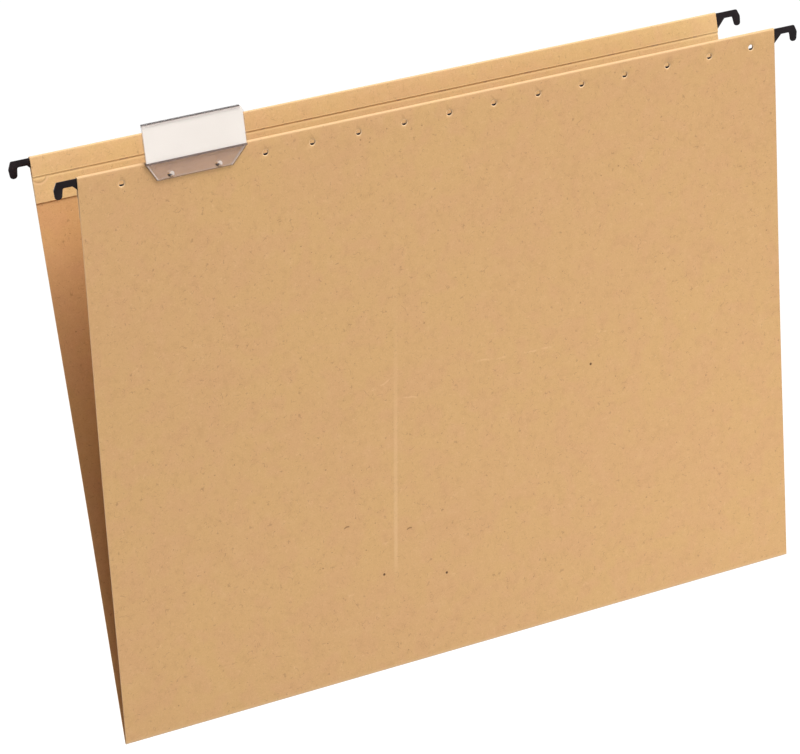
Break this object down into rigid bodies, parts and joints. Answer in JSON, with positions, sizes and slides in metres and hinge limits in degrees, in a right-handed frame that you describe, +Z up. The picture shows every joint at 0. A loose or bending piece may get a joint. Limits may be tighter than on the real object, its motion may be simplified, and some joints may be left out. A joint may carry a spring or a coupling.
{
  "type": "hanging file folder",
  "caption": "Hanging file folder of kraft card: leaves joined at a bottom fold, hooked hanger bars in the top hems and a clear index tab pegged into a row of holes.",
  "frame": {"origin": "middle of the bottom fold, on the fold's axis", "axes": "+X along the fold to the right as seen from the front, +Y from the front leaf to the rear leaf, +Z up; the front leaf with the index tab faces -Y"},
  "size_m": [0.3483, 0.0467, 0.2548],
  "materials": {
    "kraft_card": "matte kraft card with fine fibres",
    "hem_glue": "dry white glue",
    "black_bar": "satin black lacquer",
    "clear_plastic": "clear moulded plastic",
    "label_paper": "smooth white paper"
  },
  "bodies": {
    "rear_half": {"rear_leaf": "kraft_card", "rear_hem_flap": "kraft_card", "rear_hem_glue": "hem_glue", "rear_hanger_bar": "black_bar", "bottom_crease": "kraft_card"},
    "front_half": {"front_leaf": "kraft_card", "front_hem_flap": "kraft_card", "front_hem_glue": "hem_glue", "front_hanger_bar": "black_bar"},
    "tab": {"index_tab": "clear_plastic"},
    "label": {"label_insert": "label_paper"}
  },
  "joints": [
    {"name": "bottom_fold", "type": "hinge", "parent": "rear_half", "child": "front_half", "pos_m": [0, 0, 0], "axis": [1, 0, 0], "range_deg": [-9.5, 169.5]},
    {"name": "tab_pull", "type": "slide", "parent": "front_half", "child": "tab", "axis": [0, -0.9958, -0.0915], "range_m": [0, 0.03]},
    {"name": "label_slide", "type": "slide", "parent": "tab", "child": "label", "axis": [1, 0, 0], "range_m": [-0.046, 0.046]}
  ]
}
